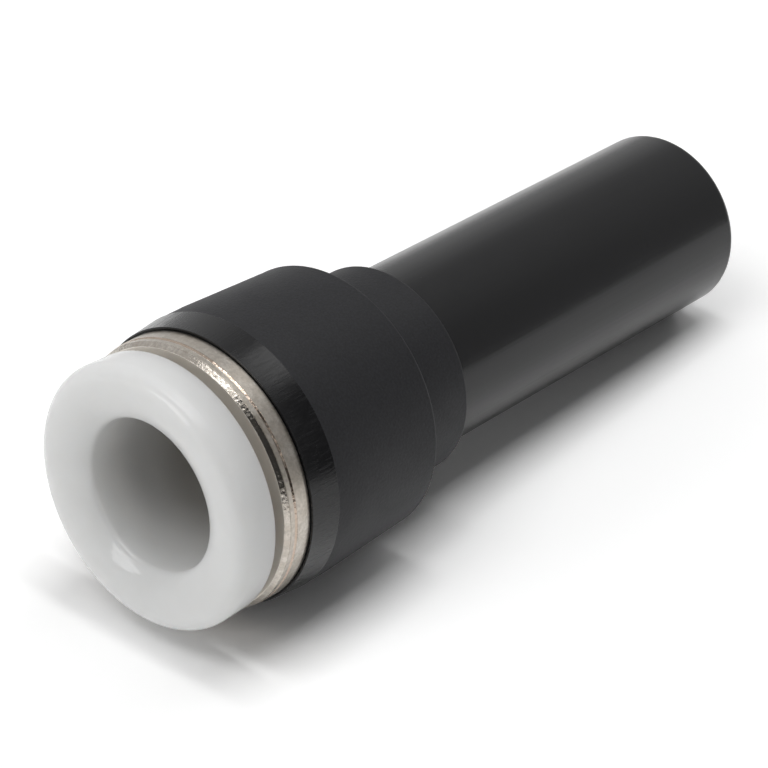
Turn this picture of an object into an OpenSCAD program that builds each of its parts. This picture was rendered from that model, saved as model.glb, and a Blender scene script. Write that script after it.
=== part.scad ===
// Push-in reducing connector: takes a 3/8 in tube and plugs into a 1/2 in push-in port.
// It stands on the end face of its stem, with the tube port on top and +Z along the axis.
// The tube passes the release ring, the claws and the lip sleeve, and stops in the neck.

/* [Tube port] */
// Outside diameter of the tube that is pushed in
tube_d = 9.525; // [9.3:0.025:9.8]
// How far the tube goes in, from the front of the release ring to the stop
insertion_depth = 20.2; // [19.6:0.1:20.8]
// Radial room around the tube in the bore behind the sleeve
tube_bore_clearance = 0.09; // [0.05:0.01:0.2]
// Diameter of the air passage behind the tube stop
passage_d = 7.2; // [6.6:0.1:8]

/* [Release ring] */
// Radial room around the tube inside the release ring
ring_tube_clearance = 0.3; // [0.2:0.02:0.4]
// Wall of the tubular skirt
skirt_wall = 1.16; // [1:0.02:1.4]
// Height of the wide flange that the fingers press
ring_flange_h = 2.9; // [2.4:0.1:3.4]
// How far the ring can be pressed in
ring_travel = 0.75; // [0.6:0.05:0.9]
// Step from the guide ring's rim in to the front of the flange
ring_margin = 0.14; // [0.05:0.01:0.4]
// Draft of the flange, as the radius lost towards its back
ring_draft = 0.1; // [0:0.02:0.2]
// Radius of the flange's front edge
ring_shoulder_r = 0.95; // [0.5:0.05:1.3]
// Radius of the flange's back edge
ring_back_r = 0.14; // [0.05:0.01:0.25]
// How far the rounded front face falls from its crest to the bore, which leads the tube in
face_fall_h = 0.885; // [0.6:0.005:1]
// Radius of the edge between that face and the bore
bore_edge_r = 0.12; // [0.05:0.01:0.2]
// How far the snap bead stands out of the skirt
bead_h = 0.28; // [0.2:0.02:0.36]
// Length of the snap bead along the axis
bead_l = 1.0; // [0.8:0.05:1.2]
// Width of the blunt nose that opens the claws
nose_w = 0.55; // [0.4:0.05:0.7]
// Length of the cone behind the nose
nose_l = 2.0; // [1.6:0.1:2.2]

/* [Guide ring] */
// Height of the metal flange that shows between body and release ring
guide_flange_h = 1.95; // [1.7:0.05:2.3]
// Bare rim of the body around that flange
guide_margin = 0.22; // [0.12:0.01:0.35]
// Length of the barbed spigot inside the body
spigot_l = 5; // [4.8:0.1:5.6]
// Wall of the spigot around the bead's pocket
spigot_wall = 1; // [0.8:0.05:1.2]
// Height of each barb
barb_h = 0.2; // [0.1:0.02:0.25]
// Number of barbs
barb_count = 3; // [2:1:4]
// How deep the barbs bite into the body
barb_press = 0.05; // [0.02:0.01:0.08]
// Height of the flange's tilted front edge
guide_bevel_h = 0.3; // [0.2:0.02:0.4]
// Radial width of that edge
guide_bevel_w = 0.27; // [0.15:0.02:0.35]
// Height of the narrow band behind the front edge
guide_band_h = 0.32; // [0.2:0.02:0.45]
// Height of the step from the band out to the full flange
guide_step_h = 0.2; // [0.1:0.02:0.3]
// Radial width of that step
guide_step_w = 0.09; // [0.05:0.01:0.14]
// Depth and width of the fine turned line between edge and band
guide_line_w = 0.05; // [0.03:0.01:0.08]
// Chamfer at the mouth of the bore that guides the release ring
guide_chamfer = 0.3; // [0.1:0.05:0.4]

/* [Lock claws] */
// Thickness of the stamped strip
claw_t = 0.3; // [0.2:0.02:0.4]
// Number of claws
claw_count = 10; // [8:1:14]
// Lean of the claws below the flat rim, in degrees
claw_angle = 42; // [38:1:46]
// How far the resting tips stand inside the tube's surface
claw_bite = 0.16; // [0.08:0.02:0.24]
// Width of the slots between claws
claw_slot = 0.5; // [0.35:0.05:0.7]
// Diameter of the round relief at each slot's root
claw_relief_d = 0.8; // [0.7:0.05:1]

/* [Elastic sleeve] */
// Height of the sleeve's lip section
sleeve_h = 2.5; // [2.3:0.1:2.8]
// How far the relaxed lip stands inside the tube's surface
sleeve_squeeze = 0.14; // [0.05:0.01:0.2]
// Wall of the sleeve's outer leg
sleeve_leg_w = 0.68; // [0.5:0.02:0.8]
// Wall of the collar that reaches up beside the claws
sleeve_collar_w = 0.3; // [0.2:0.02:0.36]
// Thickness of the web that joins the lip to the leg
sleeve_web_h = 1.1; // [0.9:0.05:1.3]
// Wall of the lip
lip_wall = 0.6; // [0.4:0.05:0.7]
// Depth of the lip's sealing edge below the top of the web
lip_edge_l = 1.6; // [1.4:0.05:1.7]

/* [Body] */
// Length of the barrel, from its back shoulder to the mouth
barrel_l = 11.65; // [11.2:0.05:12.5]
// Wall of the barrel at the mouth
mouth_wall = 1.3; // [1.1:0.05:1.6]
// Length of the polished band at the mouth
band_l = 2.15; // [1.6:0.05:2.8]
// How far that band flares out, on the radius
band_flare = 0.22; // [0:0.02:0.4]
// Length of the straight land behind the band
land_l = 1.9; // [1:0.1:3]
// Draft of the rest of the barrel, as the radius lost towards the shoulder
barrel_draft = 0.32; // [0:0.02:0.5]
// Radius of the back shoulder's edge
shoulder_r = 0.25; // [0.1:0.05:0.5]
// Length of the neck behind the barrel
neck_l = 5.25; // [4.8:0.05:6]
// Wall of the neck around the tube bore
neck_wall = 2.32; // [1.9:0.02:2.6]
// Radius of the neck's back edge
neck_r = 0.2; // [0.05:0.05:0.3]
// Width of the ledge that carries the claws
seat_w = 0.95; // [0.7:0.05:1.1]

/* [Stem] */
// Outside diameter of the plug-in stem
stem_d = 12.7; // [12.2:0.05:13.2]
// Length of the stem, from its end to the neck
stem_l = 30.3; // [26:0.1:36]
// Wall of the stem
stem_wall = 2.1; // [1.6:0.05:2.4]
// Radius of the stem's outer end edge
stem_end_r = 0.5; // [0.2:0.05:0.9]

/* [Hidden] */
$fn = 120;

// Room between faces that slide, seat or may touch
slide_clearance = 0.08;
bead_clearance = 0.25;
stop_clearance = 0.03;
claw_play = 0.03;
claw_rim_clearance = 0.1;
sleeve_clearance = 0.02;
nose_gap = 0.3;
heel_clearance = 0.15;

// The front face's corner and the reach of its long arc, as shares of the face's width
face_corner_share = 0.47;
face_arc_share = 0.5;

// Small edges, rests and overlaps
edge_break = 0.1;
lip_tip_w = 0.15;
lip_tip_h = 0.45;
throat_l = 0.6;
collar_gap = 0.6;
bead_margin = 0.6;
barb_fill = 0.8;
barb_free_l = 1;
passage_overlap = 0.8;
overrun = 1;
arc_overlap = 0.05;

// Radii, from the tube outwards
tube_r = tube_d / 2;
tube_bore_r = tube_r + tube_bore_clearance;
passage_r = passage_d / 2;
ring_bore_r = tube_r + ring_tube_clearance;
skirt_r = ring_bore_r + skirt_wall;
guide_bore_r = skirt_r + slide_clearance;
bead_r = skirt_r + bead_h;
pocket_r = bead_r + bead_clearance;
spigot_r = pocket_r + spigot_wall;
barb_r = spigot_r + barb_h;
body_bore_r = barb_r - barb_press;
cavity_r = body_bore_r - seat_w;
mouth_r = body_bore_r + mouth_wall;
crest_r = mouth_r + band_flare;
barrel_back_r = crest_r - barrel_draft;
guide_r = mouth_r - guide_margin;
ring_r = guide_r - ring_margin;
neck_outer_r = tube_bore_r + neck_wall;
stem_r = stem_d / 2;
stem_bore_r = stem_r - stem_wall;

// Levels along the axis, from the stem's end up
neck_z = stem_l;
shoulder_z = neck_z + neck_l;
mouth_z = shoulder_z + barrel_l;
crest_z = mouth_z - band_l;
land_z = crest_z - land_l;
guide_top_z = mouth_z + guide_flange_h;
ring_back_z = guide_top_z + ring_travel + stop_clearance;
front_z = ring_back_z + ring_flange_h;
stop_z = front_z - insertion_depth;

// The front face is one long arc, from the shoulder's edge down to the bore
face_w = ring_r - ring_shoulder_r - ring_bore_r;
face_corner_r = ring_bore_r + face_w * face_corner_share;
face_slope = atan(face_fall_h / (face_corner_r - ring_bore_r));
face_arc_r = face_w * face_arc_share / tan(face_slope / 2);

// Levels below the mouth
guide_bottom_z = mouth_z - spigot_l;
claw_top_z = guide_bottom_z - claw_play;
claw_bottom_z = claw_top_z - claw_t;
seat_z = claw_bottom_z - claw_play;

// The claws lean in and down from their bend, and the nose hangs just above them
claw_slope = tan(claw_angle);
claw_fall = claw_t / cos(claw_angle);
claw_foot_r = cavity_r - claw_play;
claw_bend_r = claw_foot_r - (claw_fall - claw_t) / claw_slope;
claw_tip_r = tube_r - claw_bite;
claw_drop = (claw_bend_r - claw_tip_r) * claw_slope;
nose_r = ring_bore_r + nose_w;
nose_z = claw_top_z - (claw_bend_r - nose_r) * claw_slope + nose_gap;
bead_top_z = guide_bottom_z + bead_l + ring_travel + bead_margin;
pocket_top_z = bead_top_z + stop_clearance;

// The sleeve hangs clear of the claws when they swing down
claw_swing = 1;
sleeve_top_z = claw_top_z - claw_drop - claw_swing;
cavity_floor_z = sleeve_top_z - sleeve_h;
collar_top_z = seat_z - collar_gap;
lip_r = tube_r - sleeve_squeeze;

// Where the passage widens into the stem's bore
passage_end_z = neck_z - passage_overlap;
stem_core_z = passage_end_z - (stem_bore_r - passage_r);

function along(a, b) = (b - a) / norm(b - a);
function turn(a, p, b) = (p.x - a.x) * (b.y - p.y) - (p.y - a.y) * (b.x - p.x);
function xy(p) = [p.x, p.y];

// Half the angle between the two edges that meet at p
function half_angle(a, p, b) = acos(along(p, a) * along(p, b)) / 2;

// The two points where an edge circle of radius r touches the edges at p
function tangents(a, p, b, r) =
    let (reach = r / tan(half_angle(a, p, b)))
    [p + along(p, a) * reach, p + along(p, b) * reach];

// The centre of that circle
function edge_centre(a, p, b, r) =
    let (mid = along(p, a) + along(p, b))
    p + mid / norm(mid) * r / sin(half_angle(a, p, b));

// Outline through [x, y, radius] corners, given counterclockwise, with true round edges
module rounded_outline(corners) {
    n = len(corners);
    function before(i) = xy(corners[(i + n - 1) % n]);
    function at(i) = xy(corners[i]);
    function after(i) = xy(corners[(i + 1) % n]);
    function outward(i) = turn(before(i), at(i), after(i)) > 0;
    module edge_circle(i) {
        r = corners[i][2];
        translate(edge_centre(before(i), at(i), after(i), r)) circle(r);
    }
    // The part of the circle near the corner, so that a long arc stays inside a thin wall
    module edge_arc(i) {
        ends = tangents(before(i), at(i), after(i), corners[i][2]);
        out = at(i) - (ends[0] + ends[1]) / 2;
        spare = (ends[1] - ends[0]) * arc_overlap;
        intersection() {
            edge_circle(i);
            polygon([
                ends[0] - spare + out,
                ends[0] - spare - out * arc_overlap,
                ends[1] + spare - out * arc_overlap,
                ends[1] + spare + out,
            ]);
        }
    }
    difference() {
        union() {
            polygon([
                for (i = [0 : n - 1])
                    each corners[i][2] > 0
                        ? tangents(before(i), at(i), after(i), corners[i][2])
                        : [at(i)]
            ]);
            for (i = [0 : n - 1])
                if (corners[i][2] > 0 && outward(i)) edge_arc(i);
        }
        for (i = [0 : n - 1])
            if (corners[i][2] > 0 && !outward(i)) edge_circle(i);
    }
}

// One black moulding: barrel, neck and hollow plug-in stem
module body() {
    color("#2c2d30") rotate_extrude() rounded_outline([
        [stem_bore_r, 0, edge_break],
        [stem_r, 0, stem_end_r],
        [stem_r, neck_z, 0],
        [neck_outer_r, neck_z, neck_r],
        [neck_outer_r, shoulder_z, 0],
        [barrel_back_r, shoulder_z, shoulder_r],
        [barrel_back_r, shoulder_z + 2 * shoulder_r, 0],
        [crest_r, land_z, 0],
        [crest_r, crest_z, 0],
        [mouth_r, mouth_z - edge_break, 0],
        [mouth_r, mouth_z, edge_break / 2],
        [body_bore_r, mouth_z, 0],
        [body_bore_r, seat_z, 0],
        [cavity_r, seat_z, edge_break],
        [cavity_r, cavity_floor_z, 0],
        [tube_bore_r + sleeve_leg_w, cavity_floor_z, 0],
        [tube_bore_r, cavity_floor_z - sleeve_leg_w, 0],
        [tube_bore_r, stop_z, 0],
        [passage_r, stop_z, edge_break],
        [passage_r, passage_end_z, 0],
        [stem_bore_r, stem_core_z, 0],
    ]);
}

// Nickel-plated turned ring: stepped flange on the mouth, barbed spigot inside it
module guide_ring() {
    band_r = guide_r - guide_step_w;
    face_r = band_r - guide_bevel_w;
    line_z = guide_top_z - guide_bevel_h;
    step_z = line_z - guide_line_w - guide_band_h;
    barb_pitch = (spigot_l - barb_free_l) / barb_count;
    color("#b9b0a3") rotate_extrude() rounded_outline([
        [pocket_r, guide_bottom_z, 0],
        [spigot_r, guide_bottom_z, 0],
        for (i = [0 : barb_count - 1]) each [
            [spigot_r, guide_bottom_z + barb_pitch * i + barb_h, 0],
            [barb_r, guide_bottom_z + barb_pitch * (i + barb_fill), 0],
            [spigot_r, guide_bottom_z + barb_pitch * (i + barb_fill), 0],
        ],
        [spigot_r, mouth_z, 0],
        [guide_r, mouth_z, 0],
        [guide_r, step_z - guide_step_h, 0],
        [band_r, step_z, 0],
        [band_r, line_z - guide_line_w, 0],
        [band_r - guide_line_w, line_z - guide_line_w / 2, 0],
        [band_r, line_z, 0],
        [face_r, guide_top_z, 0],
        [guide_bore_r + guide_chamfer, guide_top_z, 0],
        [guide_bore_r, guide_top_z - guide_chamfer, 0],
        [guide_bore_r, pocket_top_z, 0],
        [pocket_r, pocket_top_z, 0],
    ]);
}

// White button ring: wide flange with a domed face, tubular skirt with a snap bead, blunt nose
module release_ring() {
    bead_bottom_z = bead_top_z - bead_l;
    color("#e4e5e6") rotate_extrude() rounded_outline([
        [ring_bore_r, nose_z, edge_break],
        [nose_r, nose_z, edge_break],
        [skirt_r, nose_z + nose_l, 0],
        [skirt_r, bead_bottom_z, 0],
        [bead_r, bead_bottom_z + bead_h, edge_break],
        [bead_r, bead_top_z, 0],
        [skirt_r, bead_top_z, 0],
        [skirt_r, ring_back_z, edge_break],
        [ring_r - ring_draft, ring_back_z, ring_back_r],
        [ring_r, front_z, ring_shoulder_r],
        [face_corner_r, front_z, face_arc_r],
        [ring_bore_r, front_z - face_fall_h, bore_edge_r],
    ]);
}

// One stamped stainless ring: flat rim with inclined claws and relieved slots
module lock_claws() {
    rim_r = body_bore_r - claw_rim_clearance;
    relief_r = claw_bend_r - claw_relief_d;
    color("#c9cbcc") difference() {
        rotate_extrude() polygon([
            [claw_tip_r, claw_top_z - claw_drop - claw_fall],
            [claw_foot_r, claw_bottom_z],
            [rim_r, claw_bottom_z],
            [rim_r, claw_top_z],
            [claw_bend_r, claw_top_z],
            [claw_tip_r, claw_top_z - claw_drop],
        ]);
        for (i = [0 : claw_count - 1]) rotate(i * 360 / claw_count)
            translate([0, 0, claw_top_z - claw_drop - overrun]) {
                translate([0, -claw_slot / 2, 0])
                    cube([relief_r, claw_slot, claw_drop + 2 * overrun]);
                translate([relief_r, 0, 0])
                    cylinder(h = claw_drop + 2 * overrun, d = claw_relief_d);
            }
    }
}

// Rubber lip ring: the groove between lip and leg opens towards the stem's pressure
module elastic_sleeve() {
    leg_r = cavity_r - sleeve_clearance;
    leg_in_r = leg_r - sleeve_leg_w;
    collar_in_r = leg_r - sleeve_collar_w;
    heel_r = tube_bore_r + heel_clearance;
    web_z = sleeve_top_z - sleeve_web_h;
    tip_z = sleeve_top_z - lip_edge_l - lip_tip_h;
    color("#1b1b1c") rotate_extrude() rounded_outline([
        [leg_in_r, cavity_floor_z, 0],
        [leg_r, cavity_floor_z, 0],
        [leg_r, collar_top_z, 0],
        [collar_in_r, collar_top_z, 0],
        [collar_in_r, sleeve_top_z + sleeve_leg_w, 0],
        [leg_in_r, sleeve_top_z, 0],
        [heel_r, sleeve_top_z, edge_break],
        [heel_r, sleeve_top_z - throat_l, 0],
        [lip_r, tip_z + lip_tip_h, edge_break],
        [lip_r + lip_tip_w, tip_z, edge_break],
        [lip_r + lip_wall, tip_z + lip_tip_w, 0],
        [heel_r + lip_wall, web_z, 0],
        [leg_in_r - lip_tip_w, web_z, 0],
    ]);
}

body();
guide_ring();
release_ring();
lock_claws();
elastic_sleeve();
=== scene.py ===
import math
import bpy
from mathutils import Matrix, Vector


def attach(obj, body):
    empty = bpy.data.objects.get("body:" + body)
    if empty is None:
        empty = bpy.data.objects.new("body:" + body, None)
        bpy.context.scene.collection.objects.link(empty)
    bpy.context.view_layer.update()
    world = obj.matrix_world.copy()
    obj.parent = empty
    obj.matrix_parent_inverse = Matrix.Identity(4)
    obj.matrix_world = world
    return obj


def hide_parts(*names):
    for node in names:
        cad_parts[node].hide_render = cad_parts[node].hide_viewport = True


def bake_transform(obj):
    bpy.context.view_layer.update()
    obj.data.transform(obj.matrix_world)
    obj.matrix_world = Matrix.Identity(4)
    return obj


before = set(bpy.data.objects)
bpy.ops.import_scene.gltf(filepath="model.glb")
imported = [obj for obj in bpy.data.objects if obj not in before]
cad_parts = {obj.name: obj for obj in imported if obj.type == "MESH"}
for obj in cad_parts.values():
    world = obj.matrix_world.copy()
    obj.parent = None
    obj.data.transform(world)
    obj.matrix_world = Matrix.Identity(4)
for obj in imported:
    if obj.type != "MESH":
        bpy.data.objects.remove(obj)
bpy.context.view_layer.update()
bpy.context.scene.view_settings.view_transform = "Standard"
print("frame loaded:", ", ".join(sorted(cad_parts)))

# Sizes in the dictionaries below are in mm, and the meshes are in metres
millimetre = 0.001
perMillimetre = 1000.0

# Edge radii in mm that several pieces share
crispEdge = 0.02
fineEdge = 0.03
plainEdge = 0.05
softEdge = 0.1


# Small helpers for node trees

def setInputs(tree, node, inputs):
    # Each input is linked to a socket, or holds a plain value
    for name, value in inputs.items():
        if isinstance(value, bpy.types.NodeSocket):
            tree.links.new(value, node.inputs[name])
        else:
            node.inputs[name].default_value = value


def addNode(tree, kind, inputs=None, **settings):
    node = tree.nodes.new(kind)
    for name, value in settings.items():
        setattr(node, name, value)
    setInputs(tree, node, inputs or {})
    return node


def newGroup(name, kind, inputs, outputs):
    tree = bpy.data.node_groups.new(name, kind)
    for label, socketKind, default in inputs:
        socket = tree.interface.new_socket(label, in_out="INPUT", socket_type=socketKind)
        if default is not None:
            socket.default_value = default
    for label, socketKind in outputs:
        tree.interface.new_socket(label, in_out="OUTPUT", socket_type=socketKind)
    return tree, addNode(tree, "NodeGroupInput").outputs, addNode(tree, "NodeGroupOutput")


def useGroup(tree, group, inputs):
    return addNode(tree, "ShaderNodeGroup", inputs, node_tree=group).outputs


def calculate(tree, operation, *values):
    return addNode(tree, "ShaderNodeMath", dict(enumerate(values)), operation=operation).outputs[0]


def times(tree, first, *others):
    for value in others:
        first = calculate(tree, "MULTIPLY", first, value)
    return first


def plus(tree, first, *others):
    for value in others:
        first = calculate(tree, "ADD", first, value)
    return first


def ramp(tree, value, low, high, start=0.0, end=1.0, smooth=True):
    limits = {"Value": value, "From Min": low, "From Max": high, "To Min": start, "To Max": end}
    curve = "SMOOTHSTEP" if smooth else "LINEAR"
    return addNode(tree, "ShaderNodeMapRange", limits, interpolation_type=curve).outputs["Result"]


def rampInMm(tree, value, low, high, start=0.0, end=1.0, smooth=False):
    return ramp(tree, value, low * millimetre, high * millimetre, start, end, smooth)


def mixColours(tree, factor, first, second):
    # A colour mix has its factor and its two colours in sockets 0, 6 and 7, and its result in output 2
    return addNode(tree, "ShaderNodeMix", {0: factor, 6: first, 7: second}, data_type="RGBA").outputs[2]


# Geometry trees: turned pieces and the ring of claws

def turnedTree():
    # A section in the XZ plane goes once round the Z axis
    tree, given, result = newGroup("turnedPiece", "GeometryNodeTree", [
        ("Section", "NodeSocketGeometry", None), ("Segments", "NodeSocketInt", 256),
        ("Path Radius", "NodeSocketFloat", 0.001), ("Material", "NodeSocketMaterial", None)],
        [("Geometry", "NodeSocketGeometry")])
    shift = addNode(tree, "ShaderNodeCombineXYZ", {"X": times(tree, given["Path Radius"], -1.0)})
    flat = addNode(tree, "GeometryNodeTransform", {
        "Geometry": given["Section"], "Translation": shift.outputs[0], "Rotation": (math.pi / 2, 0, 0)})
    section = addNode(tree, "GeometryNodeMeshToCurve", {"Mesh": flat.outputs[0]})
    path = addNode(tree, "GeometryNodeCurvePrimitiveCircle", {
        "Resolution": given["Segments"], "Radius": given["Path Radius"]}, mode="RADIUS")
    swept = addNode(tree, "GeometryNodeCurveToMesh", {
        "Curve": path.outputs["Curve"], "Profile Curve": section.outputs[0]})
    smooth = addNode(tree, "GeometryNodeSetShadeSmooth", {"Geometry": swept.outputs[0], "Shade Smooth": True})
    whole = addNode(tree, "GeometryNodeRealizeInstances", {"Geometry": smooth.outputs[0]})
    finished = addNode(tree, "GeometryNodeSetMaterial", {
        "Geometry": whole.outputs[0], "Material": given["Material"]})
    setInputs(tree, result, {"Geometry": finished.outputs[0]})
    return tree


def sectorTree():
    # One sector is repeated round the Z axis and sewn to its neighbours
    tree, given, result = newGroup("repeatedSector", "GeometryNodeTree", [
        ("Sector", "NodeSocketGeometry", None), ("Count", "NodeSocketInt", 10),
        ("Sew Distance", "NodeSocketFloat", 0.000002), ("Material", "NodeSocketMaterial", None)],
        [("Geometry", "NodeSocketGeometry")])
    points = addNode(tree, "GeometryNodePoints", {"Count": given["Count"]})
    index = addNode(tree, "GeometryNodeInputIndex").outputs[0]
    angle = calculate(tree, "DIVIDE", times(tree, index, 2 * math.pi), given["Count"])
    turn = addNode(tree, "ShaderNodeCombineXYZ", {"Z": angle})
    rotation = addNode(tree, "FunctionNodeEulerToRotation", {"Euler": turn.outputs[0]})
    copies = addNode(tree, "GeometryNodeInstanceOnPoints", {
        "Points": points.outputs[0], "Instance": given["Sector"], "Rotation": rotation.outputs[0]})
    whole = addNode(tree, "GeometryNodeRealizeInstances", {"Geometry": copies.outputs[0]})
    sewn = addNode(tree, "GeometryNodeMergeByDistance", {
        "Geometry": whole.outputs[0], "Distance": given["Sew Distance"]})
    finished = addNode(tree, "GeometryNodeSetMaterial", {
        "Geometry": sewn.outputs[0], "Material": given["Material"]})
    setInputs(tree, result, {"Geometry": finished.outputs[0]})
    return tree


def plainMesh(piece):
    # Keeps what the modifiers make as the piece's own mesh
    bpy.context.view_layer.update()
    evaluated = piece.evaluated_get(bpy.context.evaluated_depsgraph_get())
    mesh = bpy.data.meshes.new_from_object(evaluated)
    piece.modifiers.clear()
    piece.data = mesh
    mesh.name = piece.name
    return piece


def runTree(name, mesh, tree, values):
    # A modifier's inputs are set by the sockets' identifiers, before the piece is first evaluated
    piece = bpy.data.objects.new(name, mesh)
    bpy.context.scene.collection.objects.link(piece)
    modifier = piece.modifiers.new("shape", "NODES")
    modifier.node_group = tree
    for socket in tree.interface.items_tree:
        if socket.item_type == "SOCKET" and socket.name in values:
            modifier[socket.identifier] = values[socket.name]
    return plainMesh(piece)


sectionFineness = {
    "stepAngle": 13.0, "stepLength": 0.2, "leastSteps": 3,    # degrees and mm for each step round an edge
    "guard": 0.03, "guardShare": 0.15, "meeting": 0.05,
}


def roundedSection(corners):
    # (radius, height, edge radius) corners, counterclockwise, become a closed line with true round edges
    # A point beside each arc keeps the flat next to it flat, unless a fourth value says that the arcs run on
    count = len(corners)
    line = []
    for i in range(count):
        before, here, after = (Vector(corners[(i + k) % count][:2]) for k in (-1, 0, 1))
        edge = corners[i][2]
        if edge <= 0:
            line.append(here)
            continue
        toBefore, toAfter = before - here, after - here
        back, ahead = toBefore.normalized(), toAfter.normalized()
        half = toBefore.angle(toAfter) / 2
        reach = edge / math.tan(half)
        centre = here + (back + ahead).normalized() * edge / math.sin(half)
        first, last = here + back * reach - centre, here + ahead * reach - centre
        sweep = first.angle_signed(last)
        steps = max(sectionFineness["leastSteps"],
                    round(abs(math.degrees(sweep)) / sectionFineness["stepAngle"]),
                    round(abs(sweep) * edge / sectionFineness["stepLength"]))
        arc = [centre + Matrix.Rotation(-sweep * k / steps, 2) @ first for k in range(steps + 1)]
        if len(corners[i]) < 4:
            guardBack, guardAhead = (
                min(sectionFineness["guard"], sectionFineness["guardShare"] * side.length)
                for side in (toBefore, toAfter))
            line += [centre + first + back * guardBack] + arc + [centre + last + ahead * guardAhead]
        elif line and (line[-1] - arc[0]).length < sectionFineness["meeting"]:
            line += arc[1:]
        else:
            line += arc
    return line


def turnOutwards(mesh):
    # A closed mesh whose volume comes out negative is inside out
    mesh.calc_loop_triangles()
    volume = 0.0
    for triangle in mesh.loop_triangles:
        a, b, c = (mesh.vertices[i].co for i in triangle.vertices)
        volume += a.dot(b.cross(c))
    if volume < 0:
        mesh.flip_normals()


def turnedPiece(name, corners, segments, material):
    line = roundedSection(corners)
    mesh = bpy.data.meshes.new(name)
    mesh.from_pydata([(p.x * millimetre, 0, p.y * millimetre) for p in line],
                     [(i, (i + 1) % len(line)) for i in range(len(line))], [])
    piece = runTree(name, mesh, lathe, {
        "Segments": segments, "Path Radius": millimetre, "Material": material})
    turnOutwards(piece.data)
    return piece


lathe = turnedTree()
sectorRing = sectorTree()
print("geometry trees built")


# Effects that several materials share

effectFacts = {
    "turning": {"noise": {"Scale": 1.0, "Detail": 3.0, "Roughness": 0.6}, "mask": (0.35, 0.65)},
    "drawing": {"noise": {"Detail": 3.0, "Roughness": 0.6}, "mask": (0.4, 0.65)},
    "grain": {"detail": 4.0, "share": 0.6, "mask": (0.35, 0.7)},
    "pits": {"spacing": 0.7, "smoothness": 0.6, "share": 0.5},
    "smears": {"noise": {"Detail": 5.0, "Roughness": 0.55, "Distortion": 0.4}, "mask": (0.35, 0.7)},
    "rubs": {"noise": {"Detail": 2.0, "Roughness": 0.7}, "mask": (0.62, 0.74),
             "turn": (0.5, 0.3, 0.9), "stretch": (1.0, 14.0, 14.0)},
}


def objectPlace(tree):
    return addNode(tree, "ShaderNodeTexCoord").outputs["Object"]


def placeParts(tree):
    return addNode(tree, "ShaderNodeSeparateXYZ", {"Vector": objectPlace(tree)}).outputs


def distanceToAxis(tree, part):
    squares = plus(tree, times(tree, part["X"], part["X"]), times(tree, part["Y"], part["Y"]))
    return calculate(tree, "SQRT", squares)


def newEffect(name, inputs, outputs):
    return newGroup(name, "ShaderNodeTree",
                    [(label, "NodeSocketFloat", default) for label, default in inputs.items()],
                    [(label, "NodeSocketFloat") for label in outputs])


def turningMarksGroup(facts):
    # Fine circles left by a lathe, or by the turned mould, read from the distance to the axis and the height
    tree, given, result = newEffect(
        "turningMarks", {"Lines per mm": 14.0, "Chatter": 0.6}, ("Height", "Mask"))
    part = placeParts(tree)
    radius = distanceToAxis(tree, part)
    lines = times(tree, given["Lines per mm"], perMillimetre)
    along = addNode(tree, "ShaderNodeCombineXYZ", {
        "X": times(tree, radius, lines),
        "Y": times(tree, part["Z"], lines),
        "Z": times(tree, calculate(tree, "DIVIDE", part["X"], radius), given["Chatter"])})
    across = times(tree, calculate(tree, "DIVIDE", part["Y"], radius), given["Chatter"])
    noise = addNode(tree, "ShaderNodeTexNoise", {
        "Vector": along.outputs[0], "W": across, **facts["noise"]}, noise_dimensions="4D").outputs["Fac"]
    setInputs(tree, result, {"Height": noise, "Mask": ramp(tree, noise, *facts["mask"])})
    return tree


def drawMarksGroup(facts):
    # Fine streaks along the axis, from drawing the part out of its mould
    tree, given, result = newEffect(
        "drawMarks", {"Lines per mm": 8.0, "Stretch": 0.04}, ("Height", "Mask"))
    stretch = addNode(tree, "ShaderNodeCombineXYZ", {"X": 1.0, "Y": 1.0, "Z": given["Stretch"]})
    drawn = addNode(tree, "ShaderNodeVectorMath", {
        0: objectPlace(tree), 1: stretch.outputs[0]}, operation="MULTIPLY")
    noise = addNode(tree, "ShaderNodeTexNoise", {
        "Vector": drawn.outputs["Vector"], "Scale": times(tree, given["Lines per mm"], perMillimetre),
        **facts["noise"]}).outputs["Fac"]
    setInputs(tree, result, {"Height": noise, "Mask": ramp(tree, noise, *facts["mask"])})
    return tree


def mouldGrainGroup(grain, pits):
    # The fine pits that an eroded mould leaves in plastic and rubber
    tree, given, result = newEffect(
        "mouldGrain", {"Grains per mm": 12.0, "Softness": 0.5}, ("Height", "Mask"))
    place = objectPlace(tree)
    scale = times(tree, given["Grains per mm"], perMillimetre)
    noise = addNode(tree, "ShaderNodeTexNoise", {
        "Vector": place, "Scale": scale, "Detail": grain["detail"], "Roughness": given["Softness"]})
    cells = addNode(tree, "ShaderNodeTexVoronoi", {
        "Vector": place, "Scale": times(tree, scale, pits["spacing"]),
        "Smoothness": pits["smoothness"]}, feature="SMOOTH_F1")
    height = plus(tree, times(tree, noise.outputs["Fac"], grain["share"]),
                  times(tree, cells.outputs["Distance"], pits["share"]))
    setInputs(tree, result, {"Height": height, "Mask": ramp(tree, noise.outputs["Fac"], *grain["mask"])})
    return tree


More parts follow.
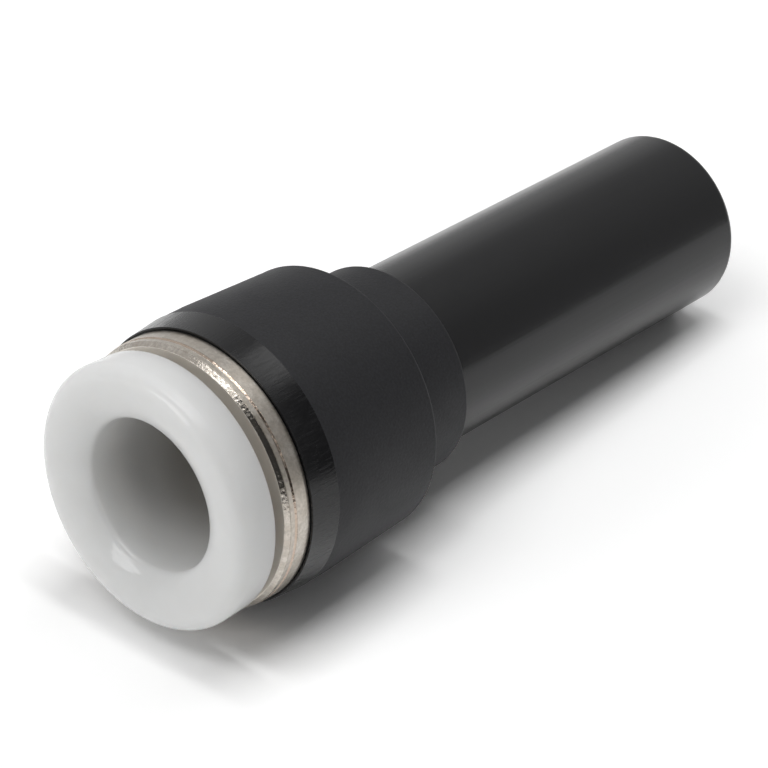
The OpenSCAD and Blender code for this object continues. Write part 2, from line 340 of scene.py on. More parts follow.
def handlingMarksGroup(smears, rubs):
    # Soft smears and hairline rubs from handling and packing
    tree, given, result = newEffect(
        "handlingMarks", {"Smear Size mm": 4.0, "Rub Length mm": 3.0}, ("Smears", "Rubs"))
    place = objectPlace(tree)
    stretched = addNode(tree, "ShaderNodeMapping", {
        "Vector": place, "Rotation": rubs["turn"], "Scale": rubs["stretch"]}, vector_type="POINT")
    smeared = addNode(tree, "ShaderNodeTexNoise", {
        "Vector": place, "Scale": calculate(tree, "DIVIDE", perMillimetre, given["Smear Size mm"]),
        **smears["noise"]})
    rubbed = addNode(tree, "ShaderNodeTexNoise", {
        "Vector": stretched.outputs[0],
        "Scale": calculate(tree, "DIVIDE", perMillimetre, given["Rub Length mm"]), **rubs["noise"]})
    setInputs(tree, result, {
        "Smears": ramp(tree, smeared.outputs["Fac"], *smears["mask"]),
        "Rubs": ramp(tree, rubbed.outputs["Fac"], *rubs["mask"])})
    return tree


turningMarks = turningMarksGroup(effectFacts["turning"])
drawMarks = drawMarksGroup(effectFacts["drawing"])
mouldGrain = mouldGrainGroup(effectFacts["grain"], effectFacts["pits"])
handlingMarks = handlingMarksGroup(effectFacts["smears"], effectFacts["rubs"])
print("shared effects built")


# Helpers for the materials

def newMaterial(name):
    material = bpy.data.materials.new(name)
    material.use_nodes = True
    material.node_tree.nodes.clear()
    return material, material.node_tree


def showSurface(tree, kind, inputs):
    shader = addNode(tree, kind, inputs)
    addNode(tree, "ShaderNodeOutputMaterial", {"Surface": shader.outputs[0]})


def layColours(tree, base, layers):
    # Each layer is a mask, the share of its colour that shows at most, and the colour
    for mask, share, colour in layers:
        base = mixColours(tree, times(tree, mask, share), base, colour)
    return base


def layBumps(tree, layers):
    # Each layer is a height, its depth in mm and its strength, and it lies over the one before
    below = {}
    for height, depth, strength in layers:
        inputs = {"Height": height, "Distance": depth * millimetre, "Strength": strength, **below}
        below = {"Normal": addNode(tree, "ShaderNodeBump", inputs).outputs["Normal"]}
    return below["Normal"]


# Body: one black moulding, with a fine matte barrel and neck, and a polished mouth band and stem

bodyFacts = {
    "segments": 288,
    "stemRadius": 6.35, "stemBore": 4.25, "stemEndEdge": 0.5,
    "neckHeight": 30.3, "neckRadius": 7.1725, "neckEdge": 0.2, "neckFillet": 0.06,
    "shoulderHeight": 35.55, "shoulderRadius": 9.1025, "shoulderEdge": 0.25, "shoulderFillet": 0.08,
    "landHeight": 43.15, "crestHeight": 45.05, "crestRadius": 9.4225,
    "partingLine": 0.03, "partingFoot": 0.008, "partingEdge": 0.012,
    "mouthHeight": 47.2, "mouthRadius": 9.2025, "mouthBore": 7.9025, "mouthLand": 0.1,
    "groove": 8.93, "grooveWidth": 0.15, "grooveDepth": 0.11, "grooveTaper": 0.02,
    "seatHeight": 41.84, "cavityRadius": 6.9525, "cavityFloor": 36.6848,
    "tubeBore": 4.8525, "leadIn": 0.68, "tubeStop": 32.63,
    "passage": 3.6, "passageEnd": 29.5, "coreEnd": 28.85,
    "matteColour": (0.0072, 0.0073, 0.0088, 1.0), "glossColour": (0.0075, 0.0075, 0.0082, 1.0),
    "grainColour": (0.0175, 0.0177, 0.0212, 1.0), "grainShare": 0.65, "finishFade": 0.03,
    "matteRoughness": 0.56, "glossRoughness": 0.16, "stemRoughness": 0.2,
    "smearRoughness": 0.05, "rubRoughness": 0.03, "drawRoughness": 0.1,
    "grain": {"Grains per mm": 7.0, "Softness": 0.62}, "grainDepth": 0.019, "glossGrain": 0.03,
    "wear": {"Smear Size mm": 5.0, "Rub Length mm": 2.5},
    "lines": {"Lines per mm": 9.0, "Chatter": 1.5}, "lineDepth": 0.0004, "lineStrength": 0.5,
    "bandMarks": {"Lines per mm": 7.0, "Stretch": 0.05}, "bandDepth": 0.008,
    "stemMarks": {"Lines per mm": 0.9, "Stretch": 0.02}, "stemDepth": 0.02,
    "shader": {"IOR": 1.42},
}


def bodyMaterial(facts):
    material, tree = newMaterial("blackMoulding")
    height = placeParts(tree)["Z"]
    fade = facts["finishFade"]
    aboveNeck = rampInMm(tree, height, facts["neckHeight"] - fade, facts["neckHeight"])
    underBand = rampInMm(tree, height, facts["crestHeight"] - fade, facts["crestHeight"], 1.0, 0.0)
    matte = times(tree, aboveNeck, underBand)
    band = calculate(tree, "SUBTRACT", aboveNeck, matte)
    stem = calculate(tree, "SUBTRACT", 1.0, aboveNeck)
    grain = useGroup(tree, mouldGrain, facts["grain"])
    wear = useGroup(tree, handlingMarks, facts["wear"])
    lines = useGroup(tree, turningMarks, facts["lines"])
    bandMarks = useGroup(tree, drawMarks, facts["bandMarks"])
    stemMarks = useGroup(tree, drawMarks, facts["stemMarks"])
    colour = layColours(tree, facts["glossColour"], (
        (matte, 1.0, facts["matteColour"]),
        (times(tree, grain["Mask"], matte), facts["grainShare"], facts["grainColour"])))
    rough = plus(
        tree, facts["stemRoughness"],
        times(tree, aboveNeck, facts["glossRoughness"] - facts["stemRoughness"]),
        times(tree, matte, facts["matteRoughness"] - facts["glossRoughness"]),
        times(tree, wear["Smears"], facts["smearRoughness"]),
        times(tree, wear["Rubs"], facts["rubRoughness"]),
        times(tree, bandMarks["Mask"], band, facts["drawRoughness"]))
    grainShows = plus(tree, times(tree, matte, 1.0 - facts["glossGrain"]), facts["glossGrain"])
    normal = layBumps(tree, (
        (times(tree, grain["Height"], grainShows), facts["grainDepth"], 1.0),
        (lines["Height"], facts["lineDepth"], facts["lineStrength"]),
        (times(tree, bandMarks["Height"], band), facts["bandDepth"], 1.0),
        (times(tree, stemMarks["Height"], stem), facts["stemDepth"], 1.0)))
    showSurface(tree, "ShaderNodeBsdfPrincipled", {
        "Base Color": colour, "Roughness": rough, "Normal": normal, **facts["shader"]})
    return material


def bodySection(s):
    foot = s["crestRadius"] - s["partingLine"]
    grooveOuter = s["groove"] + s["grooveWidth"]
    grooveFloor = s["mouthHeight"] - s["grooveDepth"]
    return [
        (s["stemBore"], 0, softEdge), (s["stemRadius"], 0, s["stemEndEdge"]),
        (s["stemRadius"], s["neckHeight"], s["neckFillet"]),
        (s["neckRadius"], s["neckHeight"], s["neckEdge"]),
        (s["neckRadius"], s["shoulderHeight"], s["shoulderFillet"]),
        (s["shoulderRadius"], s["shoulderHeight"], s["shoulderEdge"]),
        (s["shoulderRadius"], s["shoulderHeight"] + 2 * s["shoulderEdge"], 0),
        (foot, s["landHeight"], 0), (foot, s["crestHeight"], s["partingFoot"]),
        (s["crestRadius"], s["crestHeight"] + s["partingLine"] / 2, s["partingEdge"]),
        (s["mouthRadius"], s["mouthHeight"] - s["mouthLand"], 0),
        (s["mouthRadius"], s["mouthHeight"], fineEdge),
        (grooveOuter, s["mouthHeight"], crispEdge), (grooveOuter - s["grooveTaper"], grooveFloor, crispEdge),
        (s["groove"], grooveFloor, crispEdge), (s["groove"], s["mouthHeight"], crispEdge),
        (s["mouthBore"], s["mouthHeight"], plainEdge), (s["mouthBore"], s["seatHeight"], fineEdge),
        (s["cavityRadius"], s["seatHeight"], softEdge), (s["cavityRadius"], s["cavityFloor"], fineEdge),
        (s["tubeBore"] + s["leadIn"], s["cavityFloor"], plainEdge),
        (s["tubeBore"], s["cavityFloor"] - s["leadIn"], softEdge),
        (s["tubeBore"], s["tubeStop"], plainEdge), (s["passage"], s["tubeStop"], softEdge),
        (s["passage"], s["passageEnd"], softEdge), (s["stemBore"], s["coreEnd"], softEdge),
    ]


connectorBody = turnedPiece(
    "connectorBody", bodySection(bodyFacts), bodyFacts["segments"], bodyMaterial(bodyFacts))
print("body turned")


# Guide ring: turned brass with a thin nickel plate, satin on its faces and bright on its two bevels

guideFacts = {
    "segments": 288,
    "rim": 8.9825, "bore": 6.3025, "pocket": 6.7525, "pocketTop": 44.58,
    "bottom": 42.2, "seat": 47.2, "top": 49.15, "chamfer": 0.3, "edge": 0.04,
    "bevelHeight": 0.3, "bevelWidth": 0.27, "bandHeight": 0.32, "stepHeight": 0.15, "stepWidth": 0.07,
    "line": 0.05, "lineEdge": 0.008, "lineCrest": 0.012,
    "spigot": 7.7525, "barbs": 3, "barb": 7.95, "barbTrim": 0.06,
    "barbFoot": 0.2, "barbShare": 0.8, "barbLand": 1.0,
    "plate": (0.61, 0.572, 0.52, 1.0),
    "brassTint": (0.52, 0.465, 0.40, 1.0), "brassShare": 0.5,
    "stain": (0.42, 0.37, 0.31, 1.0), "stainShare": 0.6,
    "pit": (0.30, 0.27, 0.235, 1.0), "pitShare": 0.5,
    "bareEdge": (0.50, 0.37, 0.28, 1.0), "bareShare": 0.55,
    # The top face colour is painted light: the flat top under the release ring is coloured lighter to stand
    # in for light falling on it
    "paintedTopLight": (0.80, 0.75, 0.69, 1.0), "paintedTopLightFade": (0.02, 0.005),
    "satin": 0.30, "bright": 0.09, "brightTrim": 0.015, "zoneFade": 0.012,
    "markRoughness": 0.08, "hairlineRoughness": 0.08, "rubRoughness": 0.1,
    "marks": {"Lines per mm": 16.0, "Chatter": 0.8}, "markDepth": 0.002,
    "wideMarks": {"Lines per mm": 4.0, "Chatter": 1.6}, "wideDepth": 0.0045, "wideStrength": 0.6,
    "wear": {"Smear Size mm": 3.0, "Rub Length mm": 1.5},
    "stains": {"Smear Size mm": 0.7, "Rub Length mm": 0.6},
    "pits": {"Grains per mm": 4.5, "Softness": 0.75}, "pitDepth": 0.002, "pitStrength": 0.7,
    "chatter": {"Grains per mm": 5.5, "Softness": 0.65}, "chatterDepth": 0.028,
    "shader": {"Metallic": 1.0},
}


def flangeHeights(s):
    # Where the turned line ends above, and where the lower bevel ends
    lineTop = s["top"] - s["bevelHeight"]
    return lineTop, lineTop - s["line"] - s["bandHeight"]


def zone(tree, height, low, high, fade):
    # One between two heights, and zero outside them
    rise = rampInMm(tree, height, low - fade, low + fade)
    fall = rampInMm(tree, height, high - fade, high + fade, 1.0, 0.0)
    return times(tree, rise, fall)


def nickelMaterial(facts):
    material, tree = newMaterial("nickelPlate")
    height = placeParts(tree)["Z"]
    lineTop, step = flangeHeights(facts)
    stepZone = zone(tree, height, step - facts["stepHeight"], step, facts["zoneFade"])
    bevelZone = zone(tree, height, lineTop, facts["top"] - facts["brightTrim"], facts["zoneFade"])
    bright = plus(tree, bevelZone, stepZone)
    # Painted light: the flat top face under the release ring is coloured lighter, in place of the light that
    # the ring lets through onto it
    paintedTopLightZone = rampInMm(tree, height, *(facts["top"] - fade for fade in facts["paintedTopLightFade"]), smooth=True)
    marks = useGroup(tree, turningMarks, facts["marks"])
    wideMarks = useGroup(tree, turningMarks, facts["wideMarks"])
    wear = useGroup(tree, handlingMarks, facts["wear"])
    stains = useGroup(tree, handlingMarks, facts["stains"])
    pits = useGroup(tree, mouldGrain, facts["pits"])
    chatter = useGroup(tree, mouldGrain, facts["chatter"])
    colour = layColours(tree, facts["plate"], (
        (wear["Smears"], facts["brassShare"], facts["brassTint"]),
        (stains["Smears"], facts["stainShare"], facts["stain"]),
        (pits["Mask"], facts["pitShare"], facts["pit"]),
        (stepZone, facts["bareShare"], facts["bareEdge"]),
        (paintedTopLightZone, 1.0, facts["paintedTopLight"])))
    rough = plus(
        tree, facts["satin"],
        times(tree, marks["Mask"], facts["markRoughness"]),
        times(tree, stains["Rubs"], facts["hairlineRoughness"]),
        times(tree, wear["Rubs"], facts["rubRoughness"]),
        times(tree, bright, facts["bright"] - facts["satin"]))
    normal = layBumps(tree, (
        (marks["Height"], facts["markDepth"], 1.0),
        (wideMarks["Height"], facts["wideDepth"], facts["wideStrength"]),
        (pits["Height"], facts["pitDepth"], facts["pitStrength"]),
        (times(tree, chatter["Height"], bright), facts["chatterDepth"], 1.0)))
    showSurface(tree, "ShaderNodeBsdfPrincipled", {
        "Base Color": colour, "Roughness": rough, "Normal": normal, **facts["shader"]})
    return material


def guideSection(s):
    band = s["rim"] - s["stepWidth"]
    lineTop, step = flangeHeights(s)
    pitch = (s["seat"] - s["bottom"] - s["barbLand"]) / s["barbs"]
    corners = [(s["pocket"], s["bottom"], plainEdge), (s["spigot"], s["bottom"], plainEdge)]
    for i in range(s["barbs"]):
        foot = s["bottom"] + pitch * i
        crest = foot + pitch * s["barbShare"]
        corners += [(s["spigot"], foot + s["barbFoot"], 0),
                    (s["barb"] - s["barbTrim"], crest, crispEdge), (s["spigot"], crest, 0)]
    corners += [
        (s["spigot"], s["seat"], fineEdge), (s["rim"], s["seat"], s["edge"]),
        (s["rim"], step - s["stepHeight"], fineEdge), (band, step, fineEdge),
        (band, lineTop - s["line"], s["lineEdge"]),
        (band - s["line"], lineTop - s["line"] / 2, s["lineEdge"]),
        (band, lineTop, s["lineCrest"]), (band - s["bevelWidth"], s["top"], s["edge"]),
        (s["bore"] + s["chamfer"], s["top"], s["edge"]), (s["bore"], s["top"] - s["chamfer"], s["edge"]),
        (s["bore"], s["pocketTop"], fineEdge), (s["pocket"], s["pocketTop"], fineEdge),
    ]
    return corners


guideRing = turnedPiece(
    "guideRing", guideSection(guideFacts), guideFacts["segments"], nickelMaterial(guideFacts))
print("guide ring turned")


# Release ring: white acetal, waxy and soft at its edges

releaseFacts = {
    "segments": 288,
    "bore": 5.0625, "nose": 5.6125, "noseHeight": 41.3942, "noseLength": 2.0, "skirt": 6.2225,
    "bead": 6.5025, "beadBottom": 43.55, "beadRise": 0.28, "beadTop": 44.55, "beadEdge": 0.04,
    "back": 49.93, "backRadius": 8.74, "backEdge": 0.14,
    "rim": 8.8425, "front": 52.83, "frontEdge": 0.95, "boreEdge": 0.52,
    "fall": 0.962, "cornerShare": 0.498, "arcShare": 0.498,
    "colour": (0.725, 0.73, 0.727, 1.0), "shade": (0.697, 0.699, 0.695, 1.0), "shadeShare": 0.6,
    # The deep colour is painted shade: the bore wall turns darker and browner with depth
    "paintedBoreShadeColour": (0.62, 0.59, 0.545, 1.0), "deepHeight": 43.5, "openHeight": 50.8, "boreFade": (0.05, 0.15),
    "roughness": 0.46, "smearRoughness": 0.08, "grainRoughness": 0.05,
    "grain": {"Grains per mm": 5.0, "Softness": 0.5}, "grainDepth": 0.0012,
    "lines": {"Lines per mm": 3.0, "Chatter": 2.0}, "lineDepth": 0.0008, "lineStrength": 0.6,
    "wear": {"Smear Size mm": 3.5, "Rub Length mm": 2.0},
    "shader": {"IOR": 1.48, "Specular IOR Level": 0.35, "Coat Weight": 0.6, "Coat Roughness": 0.03,
               "Subsurface Weight": 1.0, "Subsurface Radius": (1.0, 0.97, 0.93), "Subsurface Scale": 0.004},
}


def acetalMaterial(facts):
    material, tree = newMaterial("whiteAcetal")
    part = placeParts(tree)
    # Painted shade: the bore wall is coloured darker and browner the deeper it lies, in place of the light
    # falling off inside the bore
    paintedBoreShade = rampInMm(tree, part["Z"], facts["deepHeight"], facts["openHeight"], 1.0, 0.0)
    boreEnds = [facts["bore"] + fade for fade in facts["boreFade"]]
    inside = rampInMm(tree, distanceToAxis(tree, part), *boreEnds, 1.0, 0.0, smooth=True)
    grain = useGroup(tree, mouldGrain, facts["grain"])
    lines = useGroup(tree, turningMarks, facts["lines"])
    wear = useGroup(tree, handlingMarks, facts["wear"])
    colour = layColours(tree, facts["colour"], (
        (wear["Smears"], facts["shadeShare"], facts["shade"]),
        (times(tree, paintedBoreShade, inside), 1.0, facts["paintedBoreShadeColour"])))
    rough = plus(
        tree, facts["roughness"],
        times(tree, wear["Smears"], facts["smearRoughness"]),
        times(tree, grain["Mask"], facts["grainRoughness"]))
    normal = layBumps(tree, (
        (grain["Height"], facts["grainDepth"], 1.0),
        (lines["Height"], facts["lineDepth"], facts["lineStrength"])))
    showSurface(tree, "ShaderNodeBsdfPrincipled", {
        "Base Color": colour, "Roughness": rough, "Normal": normal, **facts["shader"]})
    return material


def releaseSection(s):
    # The front face is one long arc, from the shoulder's edge down to the bore
    width = s["rim"] - s["frontEdge"] - s["bore"]
    corner = width * s["cornerShare"]
    arc = width * s["arcShare"] / math.tan(math.atan(s["fall"] / corner) / 2)
    return [
        (s["bore"], s["noseHeight"], softEdge), (s["nose"], s["noseHeight"], softEdge),
        (s["skirt"], s["noseHeight"] + s["noseLength"], softEdge),
        (s["skirt"], s["beadBottom"], crispEdge), (s["bead"], s["beadBottom"] + s["beadRise"], softEdge),
        (s["bead"], s["beadTop"], s["beadEdge"]), (s["skirt"], s["beadTop"], s["beadEdge"]),
        (s["skirt"], s["back"], softEdge), (s["backRadius"], s["back"], s["backEdge"]),
        (s["rim"], s["front"], s["frontEdge"], "runs on"),
        (s["bore"] + corner, s["front"], arc, "runs on"),
        (s["bore"], s["front"] - s["fall"], s["boreEdge"], "runs on"),
    ]


releaseRing = turnedPiece(
    "releaseRing", releaseSection(releaseFacts), releaseFacts["segments"], acetalMaterial(releaseFacts))
print("release ring turned")


# Lock claws: one stamped stainless ring

clawFacts = {
    "count": 10, "tip": 4.6025, "bend": 6.8073, "bendRadius": 0.25, "rim": 7.8025, "top": 42.17, "lean": 42.0,
    "slot": 0.5, "relief": 0.4, "reliefCentre": 6.0073,
    "slotRows": 8, "reliefRows": 12, "rimRows": 10, "columns": 12, "sewDistance": 0.002,
    "thickness": 0.3, "edge": 0.035, "edgeSegments": 2, "edgeAngle": 50.0, "sharpAngle": 35.0,
    "colour": (0.52, 0.52, 0.51, 1.0), "smearColour": (0.46, 0.455, 0.44, 1.0),
    "roughness": 0.24, "markRoughness": 0.12, "rubRoughness": 0.1,
    "marks": {"Lines per mm": 7.0, "Chatter": 6.0}, "markDepth": 0.001,
    "wear": {"Smear Size mm": 1.5, "Rub Length mm": 1.2},
    "shader": {"Metallic": 1.0},
}


def steelMaterial(facts):
    material, tree = newMaterial("stampedSteel")
    marks = useGroup(tree, turningMarks, facts["marks"])
    wear = useGroup(tree, handlingMarks, facts["wear"])
    colour = layColours(tree, facts["colour"], ((wear["Smears"], 1.0, facts["smearColour"]),))
    rough = plus(
        tree, facts["roughness"],
        times(tree, marks["Mask"], facts["markRoughness"]), times(tree, wear["Rubs"], facts["rubRoughness"]))
    normal = layBumps(tree, ((marks["Height"], facts["markDepth"], 1.0),))
    showSurface(tree, "ShaderNodeBsdfPrincipled", {
        "Base Color": colour, "Roughness": rough, "Normal": normal, **facts["shader"]})
    return material


def clawRows(s):
    # Radius and half the gap to the next claw: along the slot, round its relief, and out across the rim
    start = math.asin(s["slot"] / 2 / s["relief"])
    slotEnd = s["reliefCentre"] - s["relief"] * math.cos(start)
    rows = []
    for k in range(s["slotRows"]):
        rows.append((s["tip"] + (slotEnd - s["tip"]) * k / s["slotRows"], s["slot"] / 2))
    for k in range(s["reliefRows"] + 1):
        a = start + (math.pi - start) * k / s["reliefRows"]
        rows.append((s["reliefCentre"] - s["relief"] * math.cos(a), s["relief"] * math.sin(a)))
    inner = rows[-1][0]
    for k in range(1, s["rimRows"] + 1):
        rows.append((inner + (s["rim"] - inner) * k / s["rimRows"], 0.0))
    return rows


def clawDrop(s, radius):
    # The bend is a short parabola between the leaning claw and the flat rim
    slope = math.tan(math.radians(s["lean"]))
    bend = s["bendRadius"]
    x = radius - s["bend"]
    if x < -bend:
        return x * slope
    if x > bend:
        return 0
    return -(bend - x) ** 2 * slope / (4 * bend)


def clawSector(s):
    # The top face of one claw and its share of the rim, between two slots
    points, faces = [], []
    rows = clawRows(s)
    for radius, gap in rows:
        height = (s["top"] + clawDrop(s, radius)) * millimetre
        side = math.asin(min(1.0, max(0.0, gap) / radius))
        for c in range(s["columns"] + 1):
            a = side + 2 * (math.pi / s["count"] - side) * c / s["columns"]
            points.append((radius * math.cos(a) * millimetre, radius * math.sin(a) * millimetre, height))
    wide = s["columns"] + 1
    for r in range(len(rows) - 1):
        for c in range(s["columns"]):
            faces.append((r * wide + c, (r + 1) * wide + c, (r + 1) * wide + c + 1, r * wide + c + 1))
    mesh = bpy.data.meshes.new("clawSector")
    mesh.from_pydata(points, [], faces)
    return mesh


lockClaws = runTree("lockClaws", clawSector(clawFacts), sectorRing, {
    "Count": clawFacts["count"], "Sew Distance": clawFacts["sewDistance"] * millimetre,
    "Material": steelMaterial(clawFacts)})
solid = lockClaws.modifiers.new("thickness", "SOLIDIFY")
solid.thickness = clawFacts["thickness"] * millimetre
solid.offset = -1.0
solid.use_even_offset = True
edges = lockClaws.modifiers.new("edges", "BEVEL")
edges.width = clawFacts["edge"] * millimetre
edges.segments = clawFacts["edgeSegments"]
edges.limit_method = "ANGLE"
edges.angle_limit = math.radians(clawFacts["edgeAngle"])
plainMesh(lockClaws)
turnOutwards(lockClaws.data)
lockClaws.data.shade_smooth()
lockClaws.data.set_sharp_from_angle(angle=math.radians(clawFacts["sharpAngle"]))
print("claws stamped:", len(lockClaws.data.polygons), "faces")


# Lip sleeve: black nitrile rubber

sleeveFacts = {
    "segments": 192,
    "legOuter": 6.9325, "leg": 0.68, "collar": 0.3, "floor": 36.6848, "top": 39.1848, "collarTop": 41.24,
    "heel": 5.0025, "lip": 4.6225, "web": 1.1, "throat": 0.6,
    "lipEdge": 1.6, "lipTipHeight": 0.45, "lipTipWidth": 0.15, "lipWall": 0.6,
    "colour": (0.012, 0.012, 0.012, 1.0), "bloom": (0.022, 0.0215, 0.021, 1.0), "bloomShare": 0.6,
    "roughness": 0.42, "grainRoughness": 0.12,
    "grain": {"Grains per mm": 9.0, "Softness": 0.6}, "grainDepth": 0.003,
    "wear": {"Smear Size mm": 2.0, "Rub Length mm": 1.0},
    "shader": {"IOR": 1.5},
}


def rubberMaterial(facts):
    material, tree = newMaterial("nitrileRubber")
    grain = useGroup(tree, mouldGrain, facts["grain"])
    wear = useGroup(tree, handlingMarks, facts["wear"])
    colour = layColours(tree, facts["colour"], ((wear["Smears"], facts["bloomShare"], facts["bloom"]),))
    rough = plus(tree, facts["roughness"], times(tree, grain["Mask"], facts["grainRoughness"]))
    normal = layBumps(tree, ((grain["Height"], facts["grainDepth"], 1.0),))
    showSurface(tree, "ShaderNodeBsdfPrincipled", {
        "Base Color": colour, "Roughness": rough, "Normal": normal, **facts["shader"]})
    return material


def sleeveSection(s):
    legInner = s["legOuter"] - s["leg"]
    collarInner = s["legOuter"] - s["collar"]
    tip = s["top"] - s["lipEdge"] - s["lipTipHeight"]
    webFoot = s["top"] - s["web"]
    return [
        (legInner, s["floor"], plainEdge), (s["legOuter"], s["floor"], plainEdge),
        (s["legOuter"], s["collarTop"], plainEdge), (collarInner, s["collarTop"], plainEdge),
        (collarInner, s["top"] + s["leg"], softEdge), (legInner, s["top"], softEdge),
        (s["heel"], s["top"], softEdge), (s["heel"], s["top"] - s["throat"], softEdge),
        (s["lip"], tip + s["lipTipHeight"], softEdge), (s["lip"] + s["lipTipWidth"], tip, softEdge),
        (s["lip"] + s["lipWall"], tip + s["lipTipWidth"], plainEdge),
        (s["heel"] + s["lipWall"], webFoot, softEdge), (legInner - s["lipTipWidth"], webFoot, softEdge),
    ]


lipSleeve = turnedPiece(
    "lipSleeve", sleeveSection(sleeveFacts), sleeveFacts["segments"], rubberMaterial(sleeveFacts))
print("lip sleeve moulded")


# The pieces take the places of the CAD nodes

for piece, body, node in ((connectorBody, "housing", "body"), (guideRing, "housing", "guide_ring"),
                          (releaseRing, "button", "release_ring"), (lipSleeve, "housing", "elastic_sleeve")):
    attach(piece, body)
    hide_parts(node)
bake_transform(lockClaws)
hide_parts("lock_claws")
print("pieces on their bodies")


# Studio: the part lies on a pale sheet in the photograph, so here the sheet leans against it

studioFacts = {
    "middle": (0, 0, 0.03),
    "sheetTurn": -42.5, "sheetLean": 4.458, "sheetDistance": 6.297,
    "sheetReach": 0.7, "sheetNearReach": 0.075,
    "sheetColour": (0.96, 0.96, 0.955, 1.0), "sheetSeenColour": (1.24, 1.24, 1.24, 1.0),
}
lampFacts = {    # places and sizes in metres
    "overheadSoftbox": {"up": 0.5, "front": -0.055, "side": 0.055,
                        "length": 0.64, "width": 0.29, "brightness": 1.6},
    "stripLamp": {"up": 0.49, "front": -0.03, "side": 0.055,
                  "length": 0.03, "width": 0.285, "brightness": 16.0},
    "keyPanel": {"up": 0.5, "front": 0.27, "side": -0.03,
                 "length": 0.2, "width": 0.28, "brightness": 3.4},
    "frontLamp": {"up": 0.12, "front": 0.36, "side": -0.12,
                  "length": 0.12, "width": 0.16, "brightness": 4.2, "aimed": True},
    "endLamp": {"up": 0.25, "front": -0.45, "side": 0.0,
                "length": 0.15, "width": 0.2, "brightness": 3.5, "aimed": True, "glossy": False},
}
roomFacts = {    # the ends of each change are cosines of the angle to the direction named
    "top": 0.475, "far": 0.68, "farEnds": (-0.6, -0.3),
    "near": 0.05, "nearBack": 0.40, "nearBackEnds": (-0.72, -0.5), "nearEnds": (0.15, 0.4), "nearTurn": 0.27,
    "fillFar": 0.27, "fillNear": 0.13, "fillEnds": (-0.15, 0.15),
    "glow": {"azimuths": (192.0, 258.0), "elevation": -6.0, "inner": 9.0, "outer": 19.0, "level": 1.3},
    "white": (1.0, 1.0, 1.0, 1.0),
}
turn = math.radians(studioFacts["sheetTurn"])
lean = math.radians(studioFacts["sheetLean"])
sheetUp = Vector((math.cos(lean) * math.cos(turn), math.cos(lean) * math.sin(turn), math.sin(lean)))
sheetFront = (Vector((0, 0, 1)) - sheetUp * sheetUp.z).normalized()
sheetSide = sheetUp.cross(sheetFront)


def studioPlace(up, front, side):
    return sheetUp * up + sheetFront * front + sheetSide * side + Vector(studioFacts["middle"])


def sheetMaterial():
    # Pale where light falls on it, white where it is seen or mirrored, and clear from behind
    material, tree = newMaterial("paleSheet")
    rays = addNode(tree, "ShaderNodeLightPath").outputs
    seen = calculate(tree, "MAXIMUM", rays["Is Camera Ray"], rays["Is Glossy Ray"])
    colour = mixColours(tree, seen, studioFacts["sheetColour"], studioFacts["sheetSeenColour"])
    pale = addNode(tree, "ShaderNodeBsdfDiffuse", {"Color": colour})
    clear = addNode(tree, "ShaderNodeBsdfTransparent")
    behind = addNode(tree, "ShaderNodeNewGeometry").outputs["Backfacing"]
    showSurface(tree, "ShaderNodeMixShader", {0: behind, 1: pale.outputs[0], 2: clear.outputs[0]})
    return material


def leaningSheet():
    reach, nearReach = studioFacts["sheetReach"], studioFacts["sheetNearReach"]
    foot = sheetUp * (-studioFacts["sheetDistance"] * millimetre)
    ends = ((reach, nearReach), (reach, -reach), (-reach, -reach), (-reach, nearReach))
    mesh = bpy.data.meshes.new("leaningSheet")
    mesh.from_pydata([tuple(foot + sheetFront * a + sheetSide * b) for a, b in ends], [], [(0, 1, 2, 3)])
    mesh.materials.append(sheetMaterial())
    if mesh.polygons[0].normal.dot(sheetUp) < 0:
        mesh.flip_normals()
    made = bpy.data.objects.new("leaningSheet", mesh)
    bpy.context.scene.collection.objects.link(made)


def areaLamp(name, facts):
    light = bpy.data.lights.new(name, "AREA")
    light.shape = "RECTANGLE"
    light.size = facts["width"]
    light.size_y = facts["length"]
    light.energy = facts["brightness"] * math.pi * facts["width"] * facts["length"]
    lamp = bpy.data.objects.new(name, light)
    bpy.context.scene.collection.objects.link(lamp)
    place = studioPlace(facts["up"], facts["front"], facts["side"])
    away = (place - studioPlace(0, 0, 0)).normalized() if facts.get("aimed") else sheetUp
    across = sheetFront.cross(away).normalized()
    turned = Matrix((across, away.cross(across), away)).transposed()
    lamp.matrix_world = Matrix.Translation(place) @ turned.to_4x4()
    lamp.visible_camera = False
    lamp.visible_glossy = facts.get("glossy", True)


leaningSheet()
for name, facts in lampFacts.items():
    areaLamp(name, facts)

world = bpy.data.worlds.new("studio")
bpy.context.scene.world = world
world.use_nodes = True
room = world.node_tree
room.nodes.clear()
direction = addNode(room, "ShaderNodeTexCoord").outputs["Generated"]


def towards(axis):
    inputs = {0: direction, 1: tuple(axis)}
    return addNode(room, "ShaderNodeVectorMath", inputs, operation="DOT_PRODUCT").outputs["Value"]


def blendLevels(factor, first, second):
    keep = times(room, calculate(room, "SUBTRACT", 1.0, factor), first)
    return plus(room, keep, times(room, factor, second))


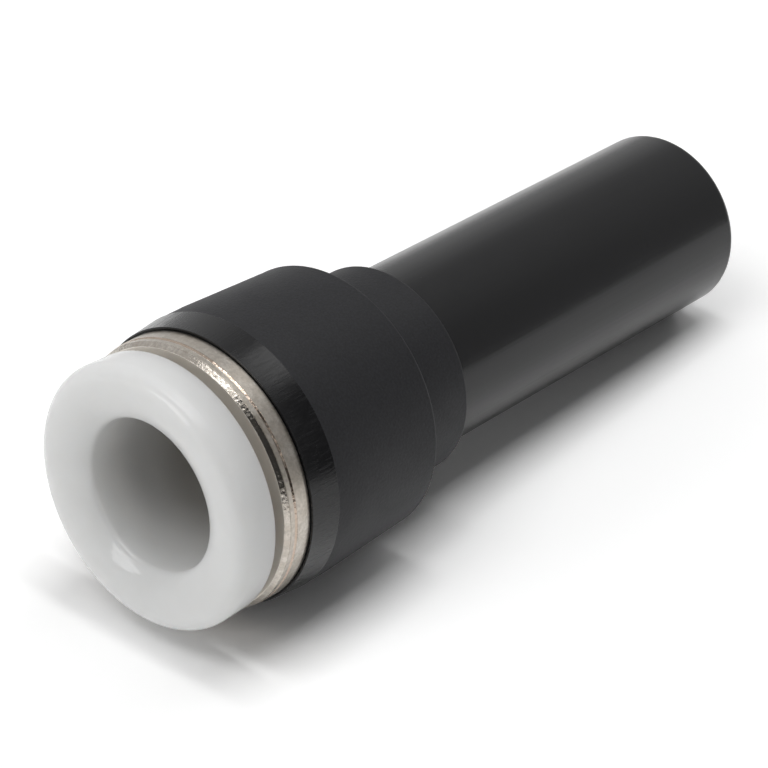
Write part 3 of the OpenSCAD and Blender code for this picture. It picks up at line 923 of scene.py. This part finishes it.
# Pale walls, lightest on the far side, and the unlit room behind the photographer
farSide = ramp(room, towards(sheetSide), *roomFacts["farEnds"], 1.0, 0.0)
roomLevel = blendLevels(farSide, roomFacts["top"], roomFacts["far"])
nearBack = ramp(room, towards(sheetFront), *roomFacts["nearBackEnds"], 1.0, 0.0)
nearLevel = blendLevels(nearBack, roomFacts["near"], roomFacts["nearBack"])
nearSide = ramp(room, towards(sheetSide + sheetFront * roomFacts["nearTurn"]), *roomFacts["nearEnds"])
roomLevel = blendLevels(nearSide, roomLevel, nearLevel)

# Two soft glows low on the dark side, so that the black parts keep their shape from behind
glow = roomFacts["glow"]
for azimuth in glow["azimuths"]:
    a = math.radians(azimuth)
    e = math.radians(glow["elevation"])
    nearness = towards((math.cos(a) * math.cos(e), math.sin(a) * math.cos(e), math.sin(e)))
    glowEnds = [math.cos(math.radians(glow[end])) for end in ("outer", "inner")]
    roomLevel = blendLevels(ramp(room, nearness, *glowEnds), roomLevel, glow["level"])

# Rough surfaces get an even fill instead, and the camera sees white
rays = addNode(room, "ShaderNodeLightPath").outputs
fillSide = ramp(room, towards(sheetSide), *roomFacts["fillEnds"])
fillLevel = blendLevels(fillSide, roomFacts["fillFar"], roomFacts["fillNear"])
roomLevel = blendLevels(rays["Is Diffuse Ray"], roomLevel, fillLevel)
seen = calculate(room, "MAXIMUM", rays["Is Camera Ray"], rays["Is Transmission Ray"])
level = calculate(room, "MAXIMUM", seen, roomLevel)
background = addNode(room, "ShaderNodeBackground", {"Color": roomFacts["white"], "Strength": level})
addNode(room, "ShaderNodeOutputWorld", {"Surface": background.outputs[0]})
print("studio lit")


# Camera: the photograph's view, fitted to the part's edges

cameraFacts = {
    "sensor": 36.0, "lens": 142.12, "nearest": 0.005,
    "elevation": 41.285, "roll": -118.66, "place": (-0.864, -148.427, 161.234),
}
cameraData = bpy.data.cameras.new("photoCamera")
cameraData.sensor_width = cameraFacts["sensor"]
cameraData.lens = cameraFacts["lens"]
cameraData.clip_start = cameraFacts["nearest"]
camera = bpy.data.objects.new("photoCamera", cameraData)
bpy.context.scene.collection.objects.link(camera)
camera.matrix_world = (Matrix.Translation(Vector(cameraFacts["place"]) * millimetre)
                       @ Matrix.Rotation(math.radians(90 - cameraFacts["elevation"]), 4, "X")
                       @ Matrix.Rotation(math.radians(cameraFacts["roll"]), 4, "Z"))
bpy.context.scene.camera = camera
print("camera placed")
